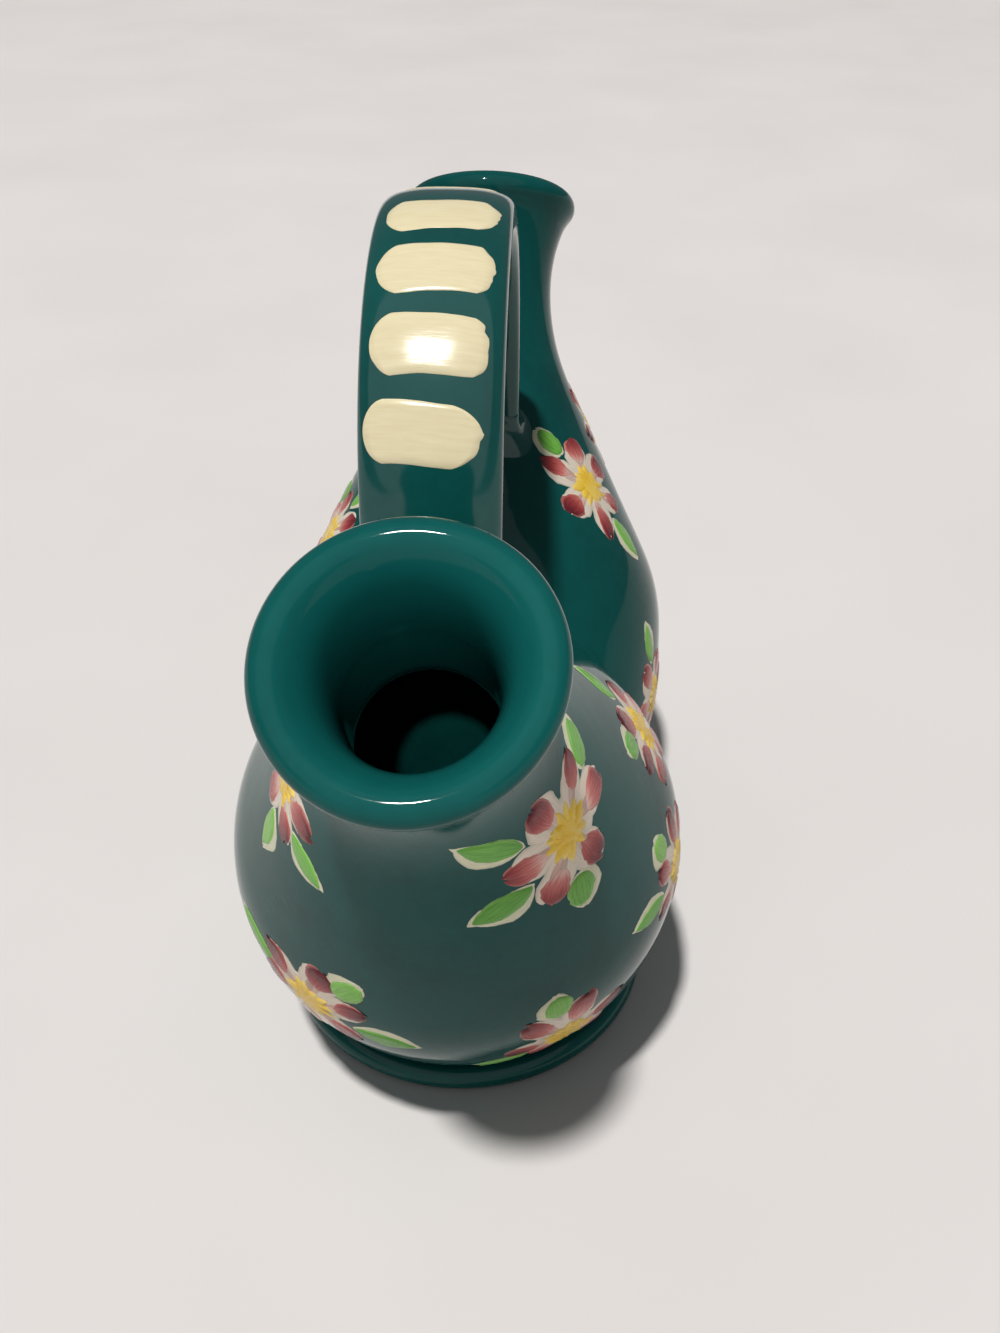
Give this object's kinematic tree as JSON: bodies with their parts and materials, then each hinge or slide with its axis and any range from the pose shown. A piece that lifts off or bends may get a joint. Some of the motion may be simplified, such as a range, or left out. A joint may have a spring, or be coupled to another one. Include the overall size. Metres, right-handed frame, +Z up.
{
  "type": "oil and vinegar cruet",
  "caption": "Conjoined oil and vinegar cruet of glazed earthenware: leaning round-bellied bottles joined at the belly on turned feet, with a strap handle arched between the necks.",
  "frame": {"origin": "on the table, under the middle of the joint between the bellies", "axes": "+X along the pair towards the front bottle's mouth, +Z up"},
  "size_m": [0.1926, 0.0772, 0.1396],
  "materials": {
    "bottle_glaze": "glossy dark green glaze",
    "foot_glaze": "glossy dark green glaze",
    "joint_glaze": "glossy dark green glaze",
    "handle_glaze": "glossy dark green glaze",
    "cream_slip": "glossy painted slip",
    "petal_slip": "glossy painted slip",
    "heart_slip": "glossy painted slip",
    "leaf_slip": "glossy painted slip"
  },
  "bodies": {
    "root": {"front_bottle": "bottle_glaze", "rear_bottle": "bottle_glaze", "front_foot": "foot_glaze", "rear_foot": "foot_glaze", "joint_wall": "joint_glaze", "strap_handle": "handle_glaze", "front_handle_root": "handle_glaze", "rear_handle_root": "handle_glaze", "handle_dashes": "cream_slip", "front_petals": "petal_slip", "front_flower_hearts": "heart_slip", "front_leaves": "leaf_slip", "rear_petals": "petal_slip", "rear_flower_hearts": "heart_slip", "rear_leaves": "leaf_slip"}
  },
  "joints": []
}
